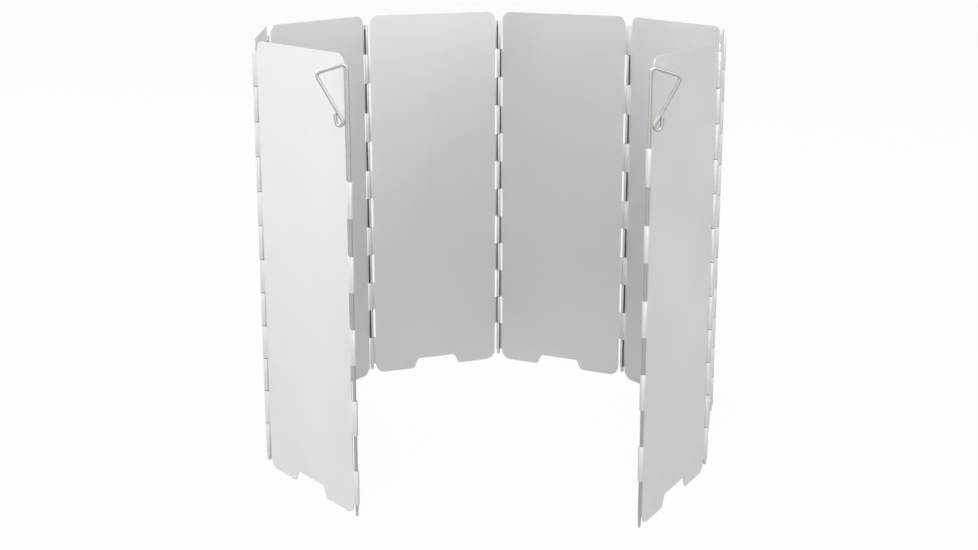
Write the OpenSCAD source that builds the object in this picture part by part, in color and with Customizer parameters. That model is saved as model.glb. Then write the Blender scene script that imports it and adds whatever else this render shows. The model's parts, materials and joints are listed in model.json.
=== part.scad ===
// Folding stove windscreen: eight sheet aluminium panels on seven knuckle hinges,
// with a wire ground stake in each free edge.
// Millimetres, +Z up, standing on Z = 0, opening towards -Y, centred on its footprint.

/* [Panels] */
// Distance from one hinge axis to the next
panel_pitch = 84; // [60:1:120]
// Height of a panel
panel_h = 216; // [160:1:300]
// Thickness of the sheet
sheet_t = 0.4; // [0.3:0.05:0.6]
// Radius of the two upper corners
top_corner_r = 4.8; // [2:0.2:5]
// Radius of the two lower corners
foot_corner_r = 5.6; // [2:0.2:6]

/* [Vent notch] */
// Width of the notch at its top
notch_w = 24; // [14:1:32]
// Extra width at each side of its mouth
notch_flare = 2.75; // [1:0.25:5]
// Height of the notch
notch_depth = 5.8; // [4:0.2:10]
// Radius of the notch's four corners
notch_r = 2; // [0.6:0.1:2]

/* [Hinges] */
// Knuckle segments along one hinge, shared in turn by the two panels
segments = 12; // [8:2:16]
// Plain sheet above the hinge
top_margin = 5; // [4:0.2:10]
// Plain sheet below the hinge
foot_margin = 5.8; // [4:0.2:10]
// Diameter of a hinge pin
wire_d = 1.8; // [1.4:0.1:2.6]
// Radial clearance of a pin in its knuckles
wire_clearance = 0.06; // [0.02:0.01:0.1]
// Clearance between one knuckle and the next along the hinge
knuckle_gap = 0.3; // [0.1:0.05:0.8]
// See-through gap between a knuckle and the neighbour's sheet
edge_gap = 1.24; // [1:0.02:2]
// Angle from the sheet at which the rolled lip ends, on the inside
lip_angle = 42; // [10:1:60]
// Length of pin that shows below the lowest knuckle
pin_tail = 3; // [0.5:0.5:4]
// Chamfer on the cut ends of a pin
pin_chamfer = 0.25; // [0.1:0.05:0.4]

/* [Standing arc] */
// Angle of hinge 1 from flat, closing the arc
hinge_1_angle = 33; // [0:1:60]
// Angle of hinge 2 from flat
hinge_2_angle = 38; // [0:1:60]
// Angle of hinge 3 from flat
hinge_3_angle = 33; // [0:1:60]
// Angle of hinge 4, the middle one, from flat
hinge_4_angle = 50; // [0:1:60]
// Angle of hinge 5 from flat
hinge_5_angle = 32; // [0:1:60]
// Angle of hinge 6 from flat
hinge_6_angle = 41; // [0:1:60]
// Angle of hinge 7 from flat
hinge_7_angle = 18.5; // [0:0.5:60]

/* [Ground stakes] */
// Radial clearance of a stake in its knuckles
stake_clearance = 0.16; // [0.05:0.01:0.2]
// Height of the handle's inner corner above the hinge
handle_rise = 1; // [0:0.5:4]
// Reach of the handle's outer corner from the rod
handle_reach = 14.5; // [12:0.5:24]
// Drop of the handle's outer corner below the inner one
handle_drop = 4.6; // [0:0.2:8]
// Drop of the hook below the handle's inner corner
hook_drop = 25; // [22:0.5:32]
// Clear gap between the rod and the hook
hook_gap = 1; // [0.8:0.1:3]
// Inner radius of the hook
hook_inner_r = 0.8; // [0.6:0.1:2]
// Angle that the wire turns round the hook
hook_angle = 205; // [170:1:220]
// Straight end of the hook
hook_leg = 4.2; // [2:0.2:8]
// Inner radius of the handle's bends
bend_inner_r = 1.1; // [0.6:0.1:2]
// Angle of the handle off its panel, to the outside
handle_angle = 45; // [30:1:90]
// Length of the tapered point
point_len = 5; // [3:0.5:10]
// Radius of the rounded tip
tip_r = 0.5; // [0.2:0.05:0.5]

/* [Hidden] */
$fn = 48;
corner_steps = 8;
wire_sides = 16;
turns = [
    hinge_1_angle, hinge_2_angle, hinge_3_angle, hinge_4_angle,
    hinge_5_angle, hinge_6_angle, hinge_7_angle,
];
panels = len(turns) + 1;
middle = panels / 2;

// Hinge sizes, all from the wire and the sheet
wire_r = wire_d / 2;
bore_r = wire_r + wire_clearance;
barrel_r = bore_r + sheet_t;
cut_back = barrel_r + edge_gap;
hinge_foot = foot_margin;
hinge_top = panel_h - top_margin;
segment = (hinge_top - hinge_foot) / segments;

// A knuckle's sheet bends out by s_bend, then rolls the other way round the wire.
// Both bends have the roll's own radius, so 60 degrees lifts the sheet to the barrel.
roll_mid = bore_r + sheet_t / 2;
s_bend = 60;
neck_x = 2 * roll_mid * sin(s_bend);
roll_start = 90 - s_bend / 2;
bend_step = 10;
// Depth by which one piece of a joined shape is let into the next
let_in = 0.01;

// A stake is thinner than a pin, so that it slides easily
stake_r = bore_r - stake_clearance;
stake_d = 2 * stake_r;

// Handle geometry, in the plane of the bent wire: [distance from the rod, height]
inner_corner = [0, hinge_top + handle_rise];
outer_corner = inner_corner + [handle_reach, -handle_drop];
hook_start = inner_corner + [stake_d + hook_gap, -hook_drop];
wire_bend_r = stake_r + bend_inner_r;
hook_r = stake_r + hook_inner_r;
top_heading = heading(inner_corner, outer_corner);
diagonal_heading = heading(outer_corner, hook_start);
hook_centre = hook_start + hook_r * polar(diagonal_heading + 90);
hook_heading = diagonal_heading + hook_angle;
hook_end = hook_centre + hook_r * polar(hook_heading - 90);
handle_foot = hook_centre[1] - hook_r - stake_r;

function polar(angle) = [cos(angle), sin(angle)];
function heading(from, to) = atan2(to[1] - from[1], to[0] - from[0]);

// Heading of panel k seen from above, counted from the left end of the arc
function panel_heading(k) =
    k == middle ? turns[middle - 1] / 2
    : k < middle ? panel_heading(k + 1) + turns[k - 1]
    : panel_heading(k - 1) - turns[k - 2];

// Hinge axis i on the plan: 0 and 8 are the free edges
function chain_point(i) =
    i == 0 ? [0, 0] : chain_point(i - 1) + panel_pitch * polar(panel_heading(i));
chain = [for (i = [0:panels]) chain_point(i)];
chain_x = [for (p = chain) p[0]];
chain_y = [for (p = chain) p[1]];
plan_centre = [min(chain_x) + max(chain_x), min(chain_y) + max(chain_y)] / 2;
function hinge_at(i) = chain[i] - plan_centre;

// Points along the rounded corner at b, between a and c
function rounded_corner(a, b, c, r) =
    let (
        to_a = (a - b) / norm(a - b),
        to_c = (c - b) / norm(c - b),
        half = acos(to_a * to_c) / 2,
        centre = b + (to_a + to_c) / norm(to_a + to_c) * r / sin(half),
        from = heading(centre, b + to_a * r / tan(half)),
        to = heading(centre, b + to_c * r / tan(half)),
        turn = (to - from + 540) % 360 - 180
    )
    [for (i = [0:corner_steps]) centre + r * polar(from + turn * i / corner_steps)];

// An outline from rows of [point, radius]
function rounded_outline(rows) =
    let (n = len(rows))
    [for (i = [0:n - 1], p = rounded_corner(
        rows[(i + n - 1) % n][0], rows[i][0], rows[(i + 1) % n][0], rows[i][1])) p];

// Outline of a panel's flat sheet, with its vent notch
module sheet_outline() {
    right = panel_pitch - cut_back;
    mid = panel_pitch / 2;
    notch_top = notch_w / 2;
    notch_mouth = notch_top + notch_flare;
    polygon(rounded_outline([
        [[cut_back, 0], foot_corner_r],
        [[mid - notch_mouth, 0], notch_r],
        [[mid - notch_top, notch_depth], notch_r],
        [[mid + notch_top, notch_depth], notch_r],
        [[mid + notch_mouth, 0], notch_r],
        [[right, 0], foot_corner_r],
        [[right, panel_h], top_corner_r],
        [[cut_back, panel_h], top_corner_r],
    ]));
}

// Points on an arc, from one angle to another
function arc(centre, r, from, to) =
    let (steps = ceil(abs(to - from) / bend_step))
    [for (i = [0:steps]) centre + r * polar(from + (to - from) * i / steps)];

// The S bend of a knuckle, from inside the flat sheet to inside the roll
module neck_outline() {
    half_t = sheet_t / 2 - let_in;
    bend_centre = [neck_x, roll_mid];
    ring_from = 90 - s_bend;
    ring_to = roll_start + bend_step;
    polygon(concat(
        [[cut_back + sheet_t, half_t]],
        arc(bend_centre, roll_mid - half_t, 270, 270 - s_bend),
        arc([0, 0], roll_mid + half_t, ring_from, ring_to),
        arc([0, 0], roll_mid - half_t, ring_to, ring_from),
        arc(bend_centre, roll_mid + half_t, 270 - s_bend, 270),
        [[cut_back + sheet_t, -half_t]]));
}

// One knuckle on the axis at [0, 0], its sheet towards +X and its outside towards +Y
module knuckle(height) {
    linear_extrude(height)
        neck_outline();
    rotate([0, 0, roll_start])
        rotate_extrude(angle = 360 - lip_angle - roll_start)
            translate([bore_r, 0])
                square([sheet_t, height]);
}

// The knuckles of one edge; first is the number of its uppermost segment.
// A free edge leaves out those beside its stake's handle.
module knuckle_row(first, free_edge) {
    for (s = [first:2:segments]) {
        top = hinge_top - (s - 1) * segment;
        if (!free_edge || top < handle_foot)
            translate([0, 0, top - segment + knuckle_gap / 2])
                knuckle(segment - knuckle_gap);
    }
}

// Puts a panel's own frame, X along the sheet and +Y outside, at its place in the arc
module at_panel(k) {
    translate(concat(hinge_at(k - 1), 0))
        rotate([0, 0, panel_heading(k)])
            children();
}

module panel(k) {
    color("gainsboro")
        at_panel(k) {
            translate([0, sheet_t / 2, 0])
                rotate([90, 0, 0])
                    linear_extrude(sheet_t)
                        sheet_outline();
            knuckle_row(2, k == 1);
            translate([panel_pitch, 0, 0])
                mirror([1, 0, 0])
                    knuckle_row(1, k == panels);
        }
}

module hinge_pin(i) {
    foot = hinge_foot - pin_tail;
    end_r = wire_r - pin_chamfer;
    color("silver")
        translate(concat(hinge_at(i), 0))
            rotate_extrude()
                polygon([
                    [0, foot], [end_r, foot], [wire_r, foot + pin_chamfer],
                    [wire_r, hinge_top - pin_chamfer], [end_r, hinge_top], [0, hinge_top],
                ]);
}

// Rows of [point, heading] along a bend, turning from one heading to another
function bend_rows(centre, r, from, to) =
    let (
        side = to > from ? -90 : 90,
        steps = ceil(abs(to - from) / bend_step)
    )
    [for (i = [0:steps])
        let (h = from + (to - from) * i / steps)
        [centre + r * polar(h + side), h]];

// A tube along rows of [point, heading] in the XZ plane
module bent_wire(rows, r) {
    rings = len(rows);
    points = [for (row = rows, j = [0:wire_sides - 1])
        let (
            a = 360 * j / wire_sides,
            across = r * cos(a) * polar(row[1] - 90)
        )
        [row[0][0] + across[0], r * sin(a), row[0][1] + across[1]]];
    sides = [for (i = [0:rings - 2], j = [0:wire_sides - 1])
        let (
            here = i * wire_sides,
            next = here + wire_sides,
            k = (j + 1) % wire_sides
        )
        each [[here + j, next + j, here + k], [here + k, next + j, next + k]]];
    first = [for (j = [0:wire_sides - 1]) j];
    last = [for (j = [wire_sides - 1:-1:0]) (rings - 1) * wire_sides + j];
    polyhedron(points, concat(sides, [first, last]));
}

// One bent wire, with its handle in the XZ plane towards +X
module stake_wire() {
    rod_heading = 90;
    inner_reach = wire_bend_r * tan((rod_heading - top_heading) / 2);
    outer_reach = wire_bend_r * tan((top_heading - diagonal_heading) / 2);
    rod_top = inner_corner - [0, inner_reach];
    outer_start = outer_corner - outer_reach * polar(top_heading);
    inner_centre = rod_top + [wire_bend_r, 0];
    outer_centre = outer_start + wire_bend_r * polar(top_heading - 90);
    leg_end = hook_end + hook_leg * polar(hook_heading);
    rotate_extrude()
        polygon(concat(
            [[0, 0]],
            arc([0, tip_r], tip_r, -80, -10),
            [[stake_r, point_len], [stake_r, rod_top[1]], [0, rod_top[1]]]));
    bent_wire(concat(
        [[rod_top - [0, stake_d], rod_heading]],
        bend_rows(inner_centre, wire_bend_r, rod_heading, top_heading),
        bend_rows(outer_centre, wire_bend_r, top_heading, diagonal_heading),
        bend_rows(hook_centre, hook_r, diagonal_heading, hook_heading),
        [[leg_end, hook_heading]]), stake_r - let_in);
}

module left_stake() {
    color("lightgray")
        at_panel(1)
            rotate([0, 0, handle_angle])
                stake_wire();
}

module right_stake() {
    color("lightgray")
        at_panel(panels)
            translate([panel_pitch, 0, 0])
                rotate([0, 0, 180 - handle_angle])
                    stake_wire();
}

for (k = [1:panels])
    panel(k);
for (i = [1:panels - 1])
    hinge_pin(i);
left_stake();
right_stake();
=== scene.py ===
# %% [markdown]
# # A folding stove windscreen
#
# Eight thin panels of satin aluminium stand in an arc round a camp stove. The long edges are cut into
# tabs that are rolled round steel wires, as on a piano hinge, and each free edge holds a pointed wire
# stake with a bent handle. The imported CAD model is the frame: each new piece is made in metres, in the
# place that the frame gives, and takes the place of one CAD node.

# %% Load the frame
import json
import math

import bmesh
import bpy
from mathutils import Matrix, Vector


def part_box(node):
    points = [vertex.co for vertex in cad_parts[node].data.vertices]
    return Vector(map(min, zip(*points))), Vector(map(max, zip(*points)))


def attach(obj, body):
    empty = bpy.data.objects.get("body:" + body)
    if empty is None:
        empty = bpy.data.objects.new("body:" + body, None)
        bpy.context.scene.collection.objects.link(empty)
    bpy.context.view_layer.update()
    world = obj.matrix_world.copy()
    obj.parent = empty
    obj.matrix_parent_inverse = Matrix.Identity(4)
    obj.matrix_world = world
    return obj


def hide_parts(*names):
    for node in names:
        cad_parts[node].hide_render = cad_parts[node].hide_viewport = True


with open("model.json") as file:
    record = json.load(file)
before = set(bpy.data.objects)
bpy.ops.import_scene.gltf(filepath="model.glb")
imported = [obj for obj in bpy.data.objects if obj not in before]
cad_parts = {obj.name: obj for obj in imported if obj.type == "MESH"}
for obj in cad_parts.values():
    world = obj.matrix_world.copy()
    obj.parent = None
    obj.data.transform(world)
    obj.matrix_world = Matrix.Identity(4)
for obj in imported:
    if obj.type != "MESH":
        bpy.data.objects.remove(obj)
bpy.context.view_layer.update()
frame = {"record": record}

# %% [markdown]
# ## Where the hinges stand
#
# Seen from above, the screen is a chain of nine upright lines: a stake, seven hinge pins and a stake.
# The pins' own boxes and the two stake mounts give those lines, so nothing is measured twice. A panel is
# modelled once, flat, with X along its sheet and +Y towards the outside, and a matrix puts each copy
# between its two lines.

# %% Hinge lines
MM = 0.001
PANELS = 8
mounts = {mount["name"]: Vector(mount["pos_m"]) for mount in frame["record"]["mounts"]}


def pin_line(number):
    """Where hinge pin number stands, seen from above."""
    low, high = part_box(f"hinge_pin_{number}")
    return ((low + high) / 2).xy


hinge_lines = [pin_line(number) for number in range(1, PANELS)]
lines = [mounts["left_stake_point"].xy, *hinge_lines, mounts["right_stake_point"].xy]


def panel_turn(number):
    """The heading of a panel, seen from above."""
    along = lines[number] - lines[number - 1]
    return math.atan2(along.y, along.x)


def upright_place(line, turn):
    """The matrix that turns a piece about the upright and stands it on a line."""
    return Matrix.Translation((line.x, line.y, 0)) @ Matrix.Rotation(turn, 4, "Z")


panel_pitch = (lines[1] - lines[0]).length
panel_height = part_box("panel_4")[1].z
print(f"panels: {panel_pitch / MM:.1f} mm from line to line, {panel_height / MM:.1f} mm high")

# %% [markdown]
# ## Modelling helpers
#
# Each piece starts as a primitive and is shaped in edit mode, as by hand. An operator acts on whatever is
# selected, so one helper selects by place: it takes a test on a point, and selects the vertices, edges or
# faces that lie wholly where the test is true. Another finishes a copy: it applies the modifiers, stands
# the piece in its place with the transform in its mesh, and smooths the round surfaces.

# %% Selecting in edit mode
NEAR = 0.01 * MM
MERGE = NEAR / 10


def edit(piece):
    """Makes one object the only selected one, in edit mode."""
    bpy.ops.object.select_all(action="DESELECT")
    piece.select_set(True)
    bpy.context.view_layer.objects.active = piece
    bpy.ops.object.mode_set(mode="EDIT")


def pick(piece, kind, test):
    """In edit mode, selects only the verts, edges or faces all of whose points pass the test."""
    bpy.ops.mesh.select_mode(type={"verts": "VERT", "edges": "EDGE", "faces": "FACE"}[kind])
    bpy.ops.mesh.select_all(action="DESELECT")
    mesh = bmesh.from_edit_mesh(piece.data)
    for part in getattr(mesh, kind):
        corners = [part] if kind == "verts" else part.verts
        part.select_set(all(test(corner.co) for corner in corners))
    mesh.select_flush_mode()
    bmesh.update_edit_mesh(piece.data)


print("helpers: edit and pick")

# %% Copying, finishing and dressing
SMOOTH_ANGLE = math.radians(35)
FLAT_AREA = (10 * MM) ** 2


def copy_of(model, name):
    """A copy of a modelled piece, with its own mesh."""
    piece = model.copy()
    piece.data = model.data.copy()
    piece.name = name
    bpy.context.collection.objects.link(piece)
    return piece


def settle(piece, place):
    """Applies a piece's modifiers and its place, and smooths its round surfaces."""
    bpy.ops.object.select_all(action="DESELECT")
    piece.select_set(True)
    bpy.context.view_layer.objects.active = piece
    for modifier in list(piece.modifiers):
        bpy.ops.object.modifier_apply(modifier=modifier.name)
    piece.matrix_world = place
    bpy.ops.object.transform_apply(location=True, rotation=True, scale=True)
    bpy.ops.object.shade_smooth_by_angle(angle=SMOOTH_ANGLE)
    # A large face is flat sheet, and smoothing would bend the light along its rim.
    for face in piece.data.polygons:
        face.use_smooth = face.use_smooth and face.area < FLAT_AREA


def dress(piece, node, body, slot, *materials):
    """Gives a piece its finish, and lets it stand for a CAD node on that node's body."""
    piece.data.materials.clear()
    for material in materials:
        piece.data.materials.append(material)
    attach(piece, body)
    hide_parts(node)


print("helpers: copy_of, settle and dress")

# %% [markdown]
# ## Colours and nodes
#
# Colours are written as sRGB hex values, the way a colour picker shows them, and one function turns them
# to the linear values that shaders use. One more adds a node, with its settings and its links, so that a
# material reads from top to bottom like a recipe.

# %% Colour and node helpers
def linear(hex_colour):
    """A linear RGBA colour from an sRGB hex value."""
    channels = [int(hex_colour[i:i + 2], 16) / 255 for i in (1, 3, 5)]
    return [c / 12.92 if c <= 0.04045 else ((c + 0.055) / 1.055) ** 2.4 for c in channels] + [1.0]


def add_node(tree, kind, sockets=None, **settings):
    """Adds a node with its settings; a socket takes a value, or a link from another node's output."""
    node = tree.nodes.new(kind)
    for name, value in settings.items():
        setattr(node, name, value)
    for name, value in (sockets or {}).items():
        if isinstance(value, bpy.types.NodeSocket):
            tree.links.new(value, node.inputs[name])
        else:
            node.inputs[name].default_value = value
    return node


def new_material(name):
    """An empty node material and its tree."""
    material = bpy.data.materials.new(name)
    material.use_nodes = True
    material.node_tree.nodes.clear()
    return material, material.node_tree


def per_size(size_mm):
    """The texture scale at which a pattern's spots are about this many millimetres wide."""
    return 1 / (size_mm * MM)


print("colours: hex values, linear in the shaders")

# %% [markdown]
# ## Satin anodised aluminium
#
# The panels are rolled aluminium sheet, etched matt and anodised clear. The etching leaves a very fine
# even grit that spreads each reflection into a soft gradient, so the sheet looks like pale grey silk and
# never like a mirror. Rolling leaves faint long streaks along the sheet, and handling leaves broad, barely
# seen cloudy patches. The grit is drawn a few times coarser than the real one, so that it shows at all.
# Noise textures make all three. They read Object coordinates, so the pattern stays on its panel when the
# panel turns, and no picture has to be painted.

# %% Satin anodised aluminium
SHEET_GREYS = ("#E1E1E2", "#E5E5E6")
SHEET_ROUGHNESS = (0.52, 0.56)
SHEET_GRIT_MM = 0.35
SHEET_GRIT_DEPTH = 0.02 * MM
SHEET_GRIT_STRENGTH = 0.12
SHEET_STREAK_MM = 0.9
SHEET_STREAK_RATIO = 0.02
SHEET_STREAK_SHARE = 0.2
SHEET_CLOUD_MM = 55
# Most values of the mixed noise lie between these two.
SHEET_NOISE = (0.3, 0.7)


def satin_aluminium():
    """Matt sheet: clouds and streaks vary its grey and its roughness, and grit roughens it."""
    material, tree = new_material("satin_anodised_aluminium")
    place = add_node(tree, "ShaderNodeTexCoord").outputs["Object"]
    drawn = add_node(tree, "ShaderNodeMapping", {"Vector": place, "Scale": (1, 1, SHEET_STREAK_RATIO)})
    streaks = add_node(tree, "ShaderNodeTexNoise", {
        "Vector": drawn.outputs["Vector"], "Scale": per_size(SHEET_STREAK_MM), "Detail": 3.0})
    clouds = add_node(tree, "ShaderNodeTexNoise", {
        "Vector": place, "Scale": per_size(SHEET_CLOUD_MM), "Detail": 2.0})
    grit = add_node(tree, "ShaderNodeTexNoise", {
        "Vector": place, "Scale": per_size(SHEET_GRIT_MM), "Detail": 2.0})
    mixed = add_node(tree, "ShaderNodeMix", {
        0: SHEET_STREAK_SHARE, 2: clouds.outputs["Fac"], 3: streaks.outputs["Fac"]}, data_type="FLOAT")
    colour = add_node(tree, "ShaderNodeValToRGB", {"Fac": mixed.outputs[0]})
    for stop, position, grey in zip(colour.color_ramp.elements, SHEET_NOISE, SHEET_GREYS):
        stop.position = position
        stop.color = linear(grey)
    rough = add_node(tree, "ShaderNodeMapRange", {
        "Value": mixed.outputs[0], "From Min": SHEET_NOISE[0], "From Max": SHEET_NOISE[1],
        "To Min": SHEET_ROUGHNESS[0], "To Max": SHEET_ROUGHNESS[1]})
    bump = add_node(tree, "ShaderNodeBump", {
        "Height": grit.outputs["Fac"], "Strength": SHEET_GRIT_STRENGTH, "Distance": SHEET_GRIT_DEPTH})
    metal = add_node(tree, "ShaderNodeBsdfPrincipled", {
        "Base Color": colour.outputs["Color"], "Roughness": rough.outputs["Result"],
        "Normal": bump.outputs["Normal"], "Metallic": 1.0})
    add_node(tree, "ShaderNodeOutputMaterial", {"Surface": metal.outputs["BSDF"]})
    return material


sheet_finish = satin_aluminium()
print("material:", sheet_finish.name)

# %% [markdown]
# ## Bare cut edge
#
# The panels are punched from the sheet, and the cut edge is bare bright aluminium. It is only 0.4 mm wide,
# but it draws the fine light line round each panel, and it is a little smoother than the matt faces. It is
# a material of its own, because Solidify can give the rim of a sheet its own slot, with no mask to paint.

# %% Bare cut edge
EDGE_GREY = "#DEDEDF"
EDGE_ROUGHNESS = (0.25, 0.45)
EDGE_NICK_MM = 1.5


def cut_edge_aluminium():
    """Bare bright metal, with small nicks that vary its roughness."""
    material, tree = new_material("bare_cut_aluminium")
    place = add_node(tree, "ShaderNodeTexCoord").outputs["Object"]
    nicks = add_node(tree, "ShaderNodeTexNoise", {
        "Vector": place, "Scale": per_size(EDGE_NICK_MM), "Detail": 3.0})
    rough = add_node(tree, "ShaderNodeMapRange", {
        "Value": nicks.outputs["Fac"], "To Min": EDGE_ROUGHNESS[0], "To Max": EDGE_ROUGHNESS[1]})
    metal = add_node(tree, "ShaderNodeBsdfPrincipled", {
        "Base Color": linear(EDGE_GREY), "Roughness": rough.outputs["Result"], "Metallic": 1.0})
    add_node(tree, "ShaderNodeOutputMaterial", {"Surface": metal.outputs["BSDF"]})
    return material


edge_finish = cut_edge_aluminium()
print("material:", edge_finish.name)

# %% [markdown]
# ## Bright drawn steel wire
#
# Pins and stakes are stainless wire pulled through a die. Drawing leaves the metal bright, so a wire shows
# a narrow white highlight, and blotches of roughness, a wire's width across, break it up. A stake is a
# little darker where it lies in its knuckles. A pin is painted dark grey there, as painted shade, which
# draws a dark line in every seam, while the pins' two ends and the handles stay bright. The height of a
# point tells whether it lies in the knuckles, so one recipe serves both wires.

# %% Drawn steel wire
WIRE_BLOTCH_MM = 1.6
WIRE_NOISE = (0.35, 0.65)
WIRE_SMOOTH_SHARE = 0.92
# Between these heights a wire is painted darker; on a pin that grey is painted shade, for the dark seams.
KNUCKLE_GREY_FROM = 6 * MM
STAKE_KNUCKLE_GREY_TO = 160 * MM
# The pin's painted shade stops this far below the rim, so the top of each seam stays light, as where light
# falls in from above.
PIN_PAINTED_SHADE_BELOW_RIM = 7.7 * MM


def drawn_steel(name, pale, dark, roughest, knuckle_grey, knuckle_grey_to):
    """Steel wire from its two greys, its highest roughness, and the darker grey and top of its length in the
    knuckles.
    """
    material, tree = new_material(name)
    place = add_node(tree, "ShaderNodeTexCoord").outputs["Object"]
    blotches = add_node(tree, "ShaderNodeTexNoise", {
        "Vector": place, "Scale": per_size(WIRE_BLOTCH_MM), "Detail": 4.0})
    bright = add_node(tree, "ShaderNodeValToRGB", {"Fac": blotches.outputs["Fac"]})
    for stop, position, grey in zip(bright.color_ramp.elements, WIRE_NOISE, (dark, pale)):
        stop.position = position
        stop.color = linear(grey)
    height = add_node(tree, "ShaderNodeSeparateXYZ", {"Vector": place})
    # The darker grey between these heights; on a pin it is painted shade in the seams.
    in_knuckles = add_node(tree, "ShaderNodeMath", {
        0: height.outputs["Z"], 1: (KNUCKLE_GREY_FROM + knuckle_grey_to) / 2, 2: (knuckle_grey_to - KNUCKLE_GREY_FROM) / 2},
        operation="COMPARE")
    colour = add_node(tree, "ShaderNodeMix", {
        0: in_knuckles.outputs[0], 6: bright.outputs["Color"], 7: linear(knuckle_grey)}, data_type="RGBA")
    rough = add_node(tree, "ShaderNodeMapRange", {
        "Value": blotches.outputs["Fac"], "To Min": WIRE_SMOOTH_SHARE * roughest, "To Max": roughest})
    metal = add_node(tree, "ShaderNodeBsdfPrincipled", {
        "Base Color": colour.outputs[2], "Roughness": rough.outputs["Result"], "Metallic": 1.0})
    add_node(tree, "ShaderNodeOutputMaterial", {"Surface": metal.outputs["BSDF"]})
    return material


# The stake is a little darker up to this height, where it lies in its knuckles.
stake_finish = drawn_steel(
    "stake_steel", pale="#C6C4C2", dark="#C0BEBC", roughest=0.34, knuckle_grey="#BAB8B6", knuckle_grey_to=STAKE_KNUCKLE_GREY_TO)
# The pin's dark grey in its knuckles is painted shade, which draws the dark seams.
pin_finish = drawn_steel(
    "pin_steel", pale="#E2E1E0", dark="#D6D5D4", roughest=0.4, knuckle_grey="#747475",
    knuckle_grey_to=panel_height - PIN_PAINTED_SHADE_BELOW_RIM)
print("materials:", stake_finish.name, "and", pin_finish.name)

# %% [markdown]
# ## The panel's flat blank
#
# A panel begins as a flat plane, one face thick: the middle of the sheet. Cuts across it leave vertices
# where each tab begins and ends, and a small trapezium is taken out of the lower edge for the vent notch.
# The cuts are then dissolved into one face, which keeps their end points, and the corners are rounded by
# bevelling single vertices. That is quicker and cleaner than drawing the outline point by point.

# %% Sizes of the blank
SHEET = 0.4 * MM
WIRE_R = 0.9 * MM
WIRE_CLEARANCE = 0.06 * MM
EDGE_GAP = 1.24 * MM
TOP_MARGIN = 5 * MM
FOOT_MARGIN = 5.8 * MM
SEGMENTS = 12
KNUCKLE_GAP = 0.3 * MM
NOTCH_WIDTH = 24 * MM
NOTCH_FLARE = 2.75 * MM
NOTCH_DEPTH = 5.8 * MM
TOP_CORNER = 4.8 * MM
FOOT_CORNER = 5.6 * MM
NOTCH_CORNER = 2 * MM
CORNER_STEPS = 8

bore_r = WIRE_R + WIRE_CLEARANCE
# Between its tabs, the sheet ends this far from the hinge line, clear of the neighbour's barrel.
cut_back = bore_r + SHEET + EDGE_GAP
hinge_top = panel_height - TOP_MARGIN
segment = (hinge_top - FOOT_MARGIN) / SEGMENTS
panel_mid = panel_pitch / 2
notch_mouth = NOTCH_WIDTH / 2 + NOTCH_FLARE


def knuckle_ends(number):
    """The lower and upper end of a knuckle; they are numbered from the top."""
    top = hinge_top - (number - 1) * segment
    return top - segment + KNUCKLE_GAP / 2, top - KNUCKLE_GAP / 2


print(f"hinge: {SEGMENTS} segments of {segment / MM:.2f} mm, sheet cut back by {cut_back / MM:.2f} mm")

# %% Cut the blank
bpy.ops.object.select_all(action="DESELECT")
bpy.ops.mesh.primitive_plane_add(
    size=1, location=(panel_mid, 0, panel_height / 2), rotation=(math.radians(90), 0, 0))
blank = bpy.context.object
blank.name = "panel_blank"
blank.scale = (panel_pitch - 2 * cut_back, panel_height, 1)
bpy.ops.object.transform_apply(location=True, rotation=True, scale=True)
edit(blank)
for number in range(1, SEGMENTS + 1):
    for end in knuckle_ends(number):
        bpy.ops.mesh.select_all(action="SELECT")
        bpy.ops.mesh.bisect(plane_co=(0, 0, end), plane_no=(0, 0, 1))
bpy.ops.mesh.select_all(action="SELECT")
bpy.ops.mesh.bisect(plane_co=(0, 0, NOTCH_DEPTH), plane_no=(0, 0, 1))
for side in (-1, 1):
    pick(blank, "faces", lambda co: co.z < NOTCH_DEPTH + NEAR)
    bpy.ops.mesh.bisect(plane_co=(panel_mid + side * notch_mouth, 0, 0), plane_no=(1, 0, 0))


def in_notch(co):
    """Whether a point lies in the notch or on its outline."""
    return co.z < NOTCH_DEPTH + NEAR and abs(co.x - panel_mid) < notch_mouth + NEAR


pick(blank, "faces", in_notch)
bpy.ops.mesh.delete(type="FACE")
pick(blank, "verts", lambda co: in_notch(co) and co.z > NEAR)
bpy.ops.transform.resize(
    value=(NOTCH_WIDTH / 2 / notch_mouth, 1, 1), center_override=(panel_mid, 0, NOTCH_DEPTH))
bpy.ops.mesh.select_all(action="SELECT")
bpy.ops.mesh.dissolve_faces()
print(f"blank: {len(bmesh.from_edit_mesh(blank.data).verts)} points round one face")

# %% Round the corners of the blank
notch_slope = math.atan2(NOTCH_DEPTH, NOTCH_FLARE)
notch_reach = NOTCH_CORNER * math.tan(notch_slope / 2)
right_edge = panel_pitch - cut_back


def at_side(co):
    """Whether a point lies on one of the two long edges."""
    return abs(co.x - cut_back) < NEAR or abs(co.x - right_edge) < NEAR


def round_corners(test, reach):
    """Rounds the vertices that pass the test; reach is how far along its edges each curve begins."""
    pick(blank, "verts", test)
    bpy.ops.mesh.bevel(offset_type="OFFSET", offset=reach, segments=CORNER_STEPS, affect="VERTICES")


round_corners(lambda co: at_side(co) and co.z > panel_height - NEAR, TOP_CORNER)
round_corners(lambda co: at_side(co) and co.z < NEAR, FOOT_CORNER)
round_corners(lambda co: in_notch(co) and not at_side(co), notch_reach)
print(f"blank: {len(bmesh.from_edit_mesh(blank.data).verts)} points with rounded corners")

# %% [markdown]
# ## Rolled knuckles
#
# The tabs of one long edge are every second segment, and the neighbour's tabs fill the gaps between. On
# the real panel each tab steps out of the sheet in a small S bend and is then rolled round the wire until
# its lip almost meets the sheet again, which leaves a dark seam on the inside. Extruding the tabs' edges
# and spinning them twice, first out and then round the wire, follows that rolling exactly.

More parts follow.
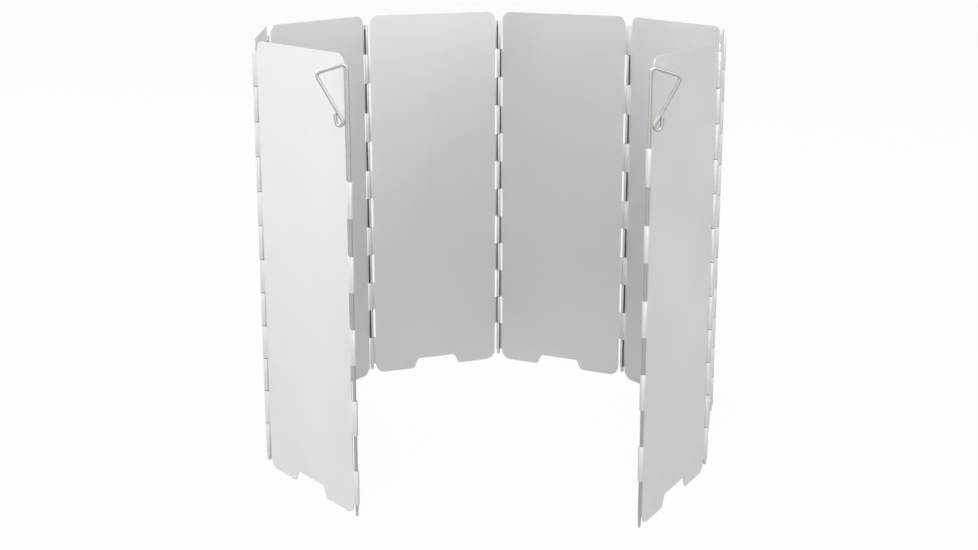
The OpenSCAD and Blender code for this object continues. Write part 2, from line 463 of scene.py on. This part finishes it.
# %% Roll the knuckles
S_BEND = math.radians(60)
LIP = math.radians(42)
BEND_STEPS = 6
ROLL_STEPS = 31

roll_mid = bore_r + SHEET / 2
neck = 2 * roll_mid * math.sin(S_BEND)
# From the end of the S bend, over the outside, to where the lip stops short of the sheet.
roll = math.radians(270) - LIP + S_BEND


def roll_knuckles(line_x, towards_sheet, numbers):
    """Rolls the tabs with these numbers about the line at line_x; towards_sheet is 1 or -1."""
    edge_x = line_x + towards_sheet * cut_back
    ends = [end for number in numbers for end in knuckle_ends(number)]
    pick(blank, "edges", lambda co: abs(co.x - edge_x) < NEAR and min(abs(co.z - e) for e in ends) < NEAR)
    tabs = sum(e.select for e in bmesh.from_edit_mesh(blank.data).edges)
    bpy.ops.mesh.extrude_region_move(
        TRANSFORM_OT_translate={"value": (towards_sheet * (neck - cut_back), 0, 0)})
    bpy.ops.mesh.spin(
        steps=BEND_STEPS, angle=towards_sheet * S_BEND, axis=(0, 0, 1),
        center=(line_x + towards_sheet * neck, roll_mid, 0))
    bpy.ops.mesh.spin(
        steps=ROLL_STEPS, angle=-towards_sheet * roll, axis=(0, 0, 1), center=(line_x, 0, 0))
    print(f"knuckles: {tabs} rolled at X = {line_x / MM:.0f} mm")


roll_knuckles(0, 1, range(2, SEGMENTS + 1, 2))
roll_knuckles(panel_pitch, -1, range(1, SEGMENTS + 1, 2))
bpy.ops.mesh.select_all(action="SELECT")
bpy.ops.mesh.remove_doubles(threshold=MERGE)
bpy.ops.mesh.normals_make_consistent(inside=False)
bpy.ops.object.mode_set(mode="OBJECT")

# %% [markdown]
# ## Eight panels
#
# Each panel is a copy of the blank. Solidify gives the sheet its 0.4 mm, with its rim in the bare cut
# finish, and a hair-fine Bevel takes the sharpness off the rim, as deburring does. The two end panels
# leave out the one knuckle that lies beside the handle of their stake, which gives the handle room.

# %% Make the panels
DEBURR = 0.06 * MM
DEBURR_STEPS = 2
DEBURR_ANGLE = math.radians(50)
# For each end panel, the hinge line and the number of the knuckle that is left out.
LEFT_OUT = {1: (0, 2), PANELS: (panel_pitch, 1)}


def leave_out_knuckle(piece, line_x, number):
    """Deletes one knuckle of a panel, back to the edge of its sheet."""
    low, high = knuckle_ends(number)
    edit(piece)
    pick(piece, "faces", lambda co: abs(co.x - line_x) < cut_back + NEAR and low - NEAR < co.z < high + NEAR)
    bpy.ops.mesh.delete(type="FACE")
    bpy.ops.object.mode_set(mode="OBJECT")


for number in range(1, PANELS + 1):
    panel = copy_of(blank, f"sheet_panel_{number}")
    if number in LEFT_OUT:
        leave_out_knuckle(panel, *LEFT_OUT[number])
    wall = panel.modifiers.new("sheet", "SOLIDIFY")
    wall.thickness = SHEET
    wall.offset = 0
    wall.use_even_offset = True
    wall.material_offset_rim = 1
    rim = panel.modifiers.new("deburr", "BEVEL")
    rim.width = DEBURR
    rim.segments = DEBURR_STEPS
    rim.limit_method = "ANGLE"
    rim.angle_limit = DEBURR_ANGLE
    dress(panel, f"panel_{number}", f"panel_{number}", "panel_sheet", sheet_finish, edge_finish)
    settle(panel, upright_place(lines[number - 1], panel_turn(number)))
    print(f"{panel.name}: {len(panel.data.polygons)} faces")
bpy.data.objects.remove(blank)

# %% [markdown]
# ## Seven hinge pins
#
# A pin is a plain wire, cut a little longer than its knuckles, so that a short tail shows at the foot. A
# cylinder of the right size is only a start: its two ends are bevelled, as snipped wire is after tumbling.

# %% Make the hinge pins
WIRE_SIDES = 32
WIRE_END = 0.25 * MM
WIRE_END_STEPS = 3

pin_low, pin_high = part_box("hinge_pin_1")
bpy.ops.object.select_all(action="DESELECT")
bpy.ops.mesh.primitive_cylinder_add(
    vertices=WIRE_SIDES, radius=WIRE_R, depth=pin_high.z - pin_low.z,
    location=(0, 0, (pin_low.z + pin_high.z) / 2))
wire = bpy.context.object
bpy.ops.object.transform_apply(location=True, rotation=True, scale=True)
edit(wire)
for height in (pin_low.z, pin_high.z):
    pick(wire, "edges", lambda co: abs(co.z - height) < NEAR)
    bpy.ops.mesh.bevel(offset=WIRE_END, segments=WIRE_END_STEPS)
bpy.ops.object.mode_set(mode="OBJECT")
for number in range(1, PANELS):
    pin = copy_of(wire, f"wire_pin_{number}")
    settle(pin, upright_place(lines[number], 0))
    dress(pin, f"hinge_pin_{number}", f"panel_{number}", "pin_wire", pin_finish)
bpy.data.objects.remove(wire)
print(f"hinge pins: {PANELS - 1} wires of {(pin_high.z - pin_low.z) / MM:.1f} mm")

# %% [markdown]
# ## Two ground stakes
#
# A stake is one wire: a ground point, a long rod in the knuckles, a bend outwards at the top, a straight
# side, a second bend back down to the rod, and a small J hook that stops fingers from slipping off. It is
# made the way the wire is bent: a ring is extruded along each straight run and spun round each bend, all
# in one plane, and the finished wire is turned about its rod to stand off its panel.

# %% Sizes of a stake
STAKE_CLEARANCE = 0.16 * MM
TIP_R = 0.5 * MM
TIP_ROUND = 0.4 * MM
TIP_STEPS = 4
POINT = 5 * MM
HANDLE_RISE = 1 * MM
HANDLE_REACH = 14.5 * MM
HANDLE_DROP = 4.6 * MM
HOOK_DROP = 25 * MM
HOOK_GAP = 1 * MM
HOOK_INNER_R = 0.8 * MM
HOOK_ANGLE = math.radians(205)
HOOK_LEG = 4.2 * MM
BEND_INNER_R = 1.1 * MM
HANDLE_ANGLE = math.radians(45)
WIRE_BEND_STEP = math.radians(8)

stake_r = bore_r - STAKE_CLEARANCE
bend_r = stake_r + BEND_INNER_R
hook_r = stake_r + HOOK_INNER_R


def heading_of(start, end):
    """The heading from one point to another in the plane of the wire, from +X towards +Z."""
    return math.atan2(end.z - start.z, end.x - start.x)


def along(heading, distance):
    """A step of this length in the plane of the wire."""
    return Vector((math.cos(heading), 0, math.sin(heading))) * distance


rod_heading = math.radians(90)
inner_corner = Vector((0, 0, hinge_top + HANDLE_RISE))
outer_corner = inner_corner + Vector((HANDLE_REACH, 0, -HANDLE_DROP))
hook_start = inner_corner + Vector((2 * stake_r + HOOK_GAP, 0, -HOOK_DROP))
top_heading = heading_of(inner_corner, outer_corner)
diagonal_heading = heading_of(outer_corner, hook_start)
rod_top = inner_corner.z - bend_r * math.tan((rod_heading - top_heading) / 2)
outer_start = outer_corner - along(top_heading, bend_r * math.tan((top_heading - diagonal_heading) / 2))
print(f"stake: rod of {rod_top / MM:.1f} mm, handle reach {HANDLE_REACH / MM:.1f} mm")


# %% Wire bending helpers
def run_to(here, there):
    """Extrudes the open ring of the wire straight on."""
    bpy.ops.mesh.extrude_region_move(TRANSFORM_OT_translate={"value": there - here})
    return there


def bend(here, heading, turn, radius):
    """Spins the open ring round a bend; a turn is positive towards the left. Returns its new place."""
    side = math.copysign(math.radians(90), turn)
    centre = here + along(heading + side, radius)
    steps = math.ceil(abs(turn) / WIRE_BEND_STEP)
    bpy.ops.mesh.spin(steps=steps, angle=turn, axis=(0, 1, 0), center=centre)
    return centre - along(heading + turn + side, radius)


def widen(here, share):
    """Scales the open ring about its own middle."""
    bpy.ops.transform.resize(value=(share, share, share), center_override=here)


print(f"wire bending: one step for every {math.degrees(WIRE_BEND_STEP):.0f} degrees")

# %% Bend the wire
bpy.ops.object.select_all(action="DESELECT")
bpy.ops.mesh.primitive_circle_add(vertices=WIRE_SIDES, radius=TIP_R, location=(0, 0, 0))
wire = bpy.context.object
edit(wire)
bpy.ops.mesh.select_all(action="SELECT")
here = run_to(Vector(), Vector((0, 0, POINT)))
widen(here, stake_r / TIP_R)
here = run_to(here, Vector((0, 0, rod_top)))
here = bend(here, rod_heading, top_heading - rod_heading, bend_r)
here = run_to(here, outer_start)
here = bend(here, top_heading, diagonal_heading - top_heading, bend_r)
here = run_to(here, hook_start)
here = bend(here, diagonal_heading, HOOK_ANGLE, hook_r)
end_heading = diagonal_heading + HOOK_ANGLE
here = run_to(here, here + along(end_heading, HOOK_LEG - WIRE_END))
here = run_to(here, here + along(end_heading, WIRE_END))
widen(here, 1 - WIRE_END / stake_r)
bpy.ops.mesh.select_all(action="SELECT")
bpy.ops.mesh.fill_holes(sides=0)
bpy.ops.mesh.remove_doubles(threshold=MERGE)
bpy.ops.mesh.normals_make_consistent(inside=False)
pick(wire, "edges", lambda co: co.z < NEAR)
bpy.ops.mesh.bevel(offset=TIP_ROUND, segments=TIP_STEPS)
bpy.ops.object.mode_set(mode="OBJECT")
print(f"wire: {len(wire.data.vertices)} points from tip to hook")

# %% Stand the stakes in the free edges
for side, line, turn in (
        ("left", lines[0], panel_turn(1) + HANDLE_ANGLE),
        ("right", lines[PANELS], panel_turn(PANELS) + math.pi - HANDLE_ANGLE)):
    stake = copy_of(wire, f"wire_stake_{side}")
    settle(stake, upright_place(line, turn))
    dress(stake, f"{side}_stake", f"{side}_stake", "stake_wire", stake_finish)
    print(f"{stake.name}: {len(stake.data.polygons)} faces")
bpy.data.objects.remove(wire)

# %% [markdown]
# ## Floor and background
#
# The screen stands on a plain pale floor that fills the view. A lit floor renders a little grey, so most of
# what the camera sees of it glows at strength 1, which is white. The rest still takes light, and keeps the
# faint shadow where the panels stand. In the metal the floor glows much less, because a floor that mirrors
# as pure white would wash out the lower half of the panels.

# %% Make the floor
FLOOR_SIZE = 30.0
FLOOR_DROP = 0.1 * MM
FLOOR_GREY = "#C6C6C6"
FLOOR_GLOW = 0.95
MIRRORED_GLOW = 0.1
WHITE = "#FFFFFF"


def seen_share(tree, by_camera, by_mirrors):
    """A share for rays from the camera, another for those that metal or glass sends on, 0 for the rest."""
    path = add_node(tree, "ShaderNodeLightPath")
    mirrored = add_node(tree, "ShaderNodeMath", {
        0: path.outputs["Is Glossy Ray"], 1: path.outputs["Is Transmission Ray"]}, operation="MAXIMUM")
    weak = add_node(tree, "ShaderNodeMath", {0: mirrored.outputs[0], 1: by_mirrors}, operation="MULTIPLY")
    full = add_node(tree, "ShaderNodeMath", {
        0: path.outputs["Is Camera Ray"], 1: by_camera}, operation="MULTIPLY")
    return add_node(tree, "ShaderNodeMath", {
        0: full.outputs[0], 1: weak.outputs[0]}, operation="MAXIMUM").outputs[0]


def white_floor():
    """A floor that looks white, keeps a faint shadow and is dimmer in the metal."""
    material, tree = new_material("white_floor")
    matt = add_node(tree, "ShaderNodeBsdfDiffuse", {"Color": linear(FLOOR_GREY)})
    glow = add_node(tree, "ShaderNodeEmission", {"Color": linear(WHITE), "Strength": 1.0})
    both = add_node(tree, "ShaderNodeMixShader", {
        0: seen_share(tree, FLOOR_GLOW, MIRRORED_GLOW), 1: matt.outputs["BSDF"], 2: glow.outputs["Emission"]})
    add_node(tree, "ShaderNodeOutputMaterial", {"Surface": both.outputs["Shader"]})
    return material


bpy.ops.object.select_all(action="DESELECT")
bpy.ops.mesh.primitive_plane_add(size=FLOOR_SIZE, location=(0, 0, -FLOOR_DROP))
floor = bpy.context.object
floor.name = "floor"
floor.data.materials.append(white_floor())
print(f"floor: {FLOOR_SIZE:.0f} m square")

# %% [markdown]
# ## Light
#
# Satin metal shows what is around it, blurred. A white world, a little dimmer in the metal, lights everything
# softly, and six soft lamps shape the gradients. Most light comes from above and slightly in front, as from
# a softbox at the ceiling, so the panels grow darker towards the floor. A weak low strip in front draws the
# upright highlights on wires and knuckles. Two lamps at the left make the left end panel the brightest
# face, and two at the right keep the other end panel a shade darker.

# %% World and lamps
# The world's strength as plain light, and how far from that towards white the metal sees it.
WORLD_LIGHT = 0.55
MIRRORED_WORLD = 0.6


def white_world():
    """A world that looks white, is a little dimmer in the metal, and lights softly."""
    world = bpy.data.worlds.new("white_studio")
    world.use_nodes = True
    tree = world.node_tree
    tree.nodes.clear()
    strength = add_node(tree, "ShaderNodeMapRange", {
        "Value": seen_share(tree, 1.0, MIRRORED_WORLD), "To Min": WORLD_LIGHT, "To Max": 1.0})
    shell = add_node(tree, "ShaderNodeBackground", {
        "Color": linear(WHITE), "Strength": strength.outputs["Result"]})
    add_node(tree, "ShaderNodeOutputWorld", {"Surface": shell.outputs["Background"]})
    bpy.context.scene.world = world


def soft_lamp(name, place, width, height, power):
    """An area lamp that faces the middle of the windscreen."""
    bpy.ops.object.light_add(type="AREA", location=place)
    lamp = bpy.context.object
    lamp.name = name
    lamp.data.shape = "RECTANGLE"
    lamp.data.size = width
    lamp.data.size_y = height
    lamp.data.energy = power
    target = Vector((0, 0, panel_height / 2))
    lamp.rotation_euler = (target - Vector(place)).to_track_quat("-Z", "Y").to_euler()
    print(f"lamp {name}: {power} W, {width} m by {height} m")


white_world()
soft_lamp("top_lamp", (0, -0.9, 1.5), 1.2, 1.2, 16.4)
soft_lamp("front_strip", (0, -1.7, 0.2), 1.0, 0.3, 2.2)
soft_lamp("left_strip", (-1.7, -0.15, 0.12), 1.4, 0.24, 2.8)
soft_lamp("back_left_lamp", (-1.2, 0.6, 1.2), 1.0, 1.0, 12.4)
soft_lamp("right_lamp", (1.4, -1.3, 0.9), 1.2, 1.2, 6.0)
soft_lamp("back_right_lamp", (1.6, 0.5, 0.7), 1.0, 1.0, 2.3)
bpy.context.scene.view_settings.view_transform = "Standard"

# %% [markdown]
# ## Camera
#
# The camera stands in front of the opening, a little above the rim and close to the middle, and looks
# slightly down. Its place, tilt and lens were worked out from the hinge lines seen in the photograph. A
# shifted lens would keep the uprights parallel, but any other view would keep the shift too and lose the
# screen, so the camera tilts instead.

# %% Make the camera
CAMERA_PLACE = Vector((25.6, -785.1, 282.6)) * MM
CAMERA_TURN = math.radians(2.01)
CAMERA_TILT = math.radians(-14.01)
CAMERA_SENSOR_MM = 36
CAMERA_LENS_MM = 55.8
NEAREST_SEEN = 10 * MM

bpy.ops.object.camera_add(
    location=CAMERA_PLACE, rotation=(math.radians(90) + CAMERA_TILT, 0, CAMERA_TURN))
camera = bpy.context.object
camera.data.sensor_width = CAMERA_SENSOR_MM
camera.data.lens = CAMERA_LENS_MM
camera.data.clip_start = NEAREST_SEEN
bpy.context.scene.camera = camera
print(f"camera: {CAMERA_LENS_MM} mm lens, {CAMERA_PLACE.length:.2f} m from the middle")
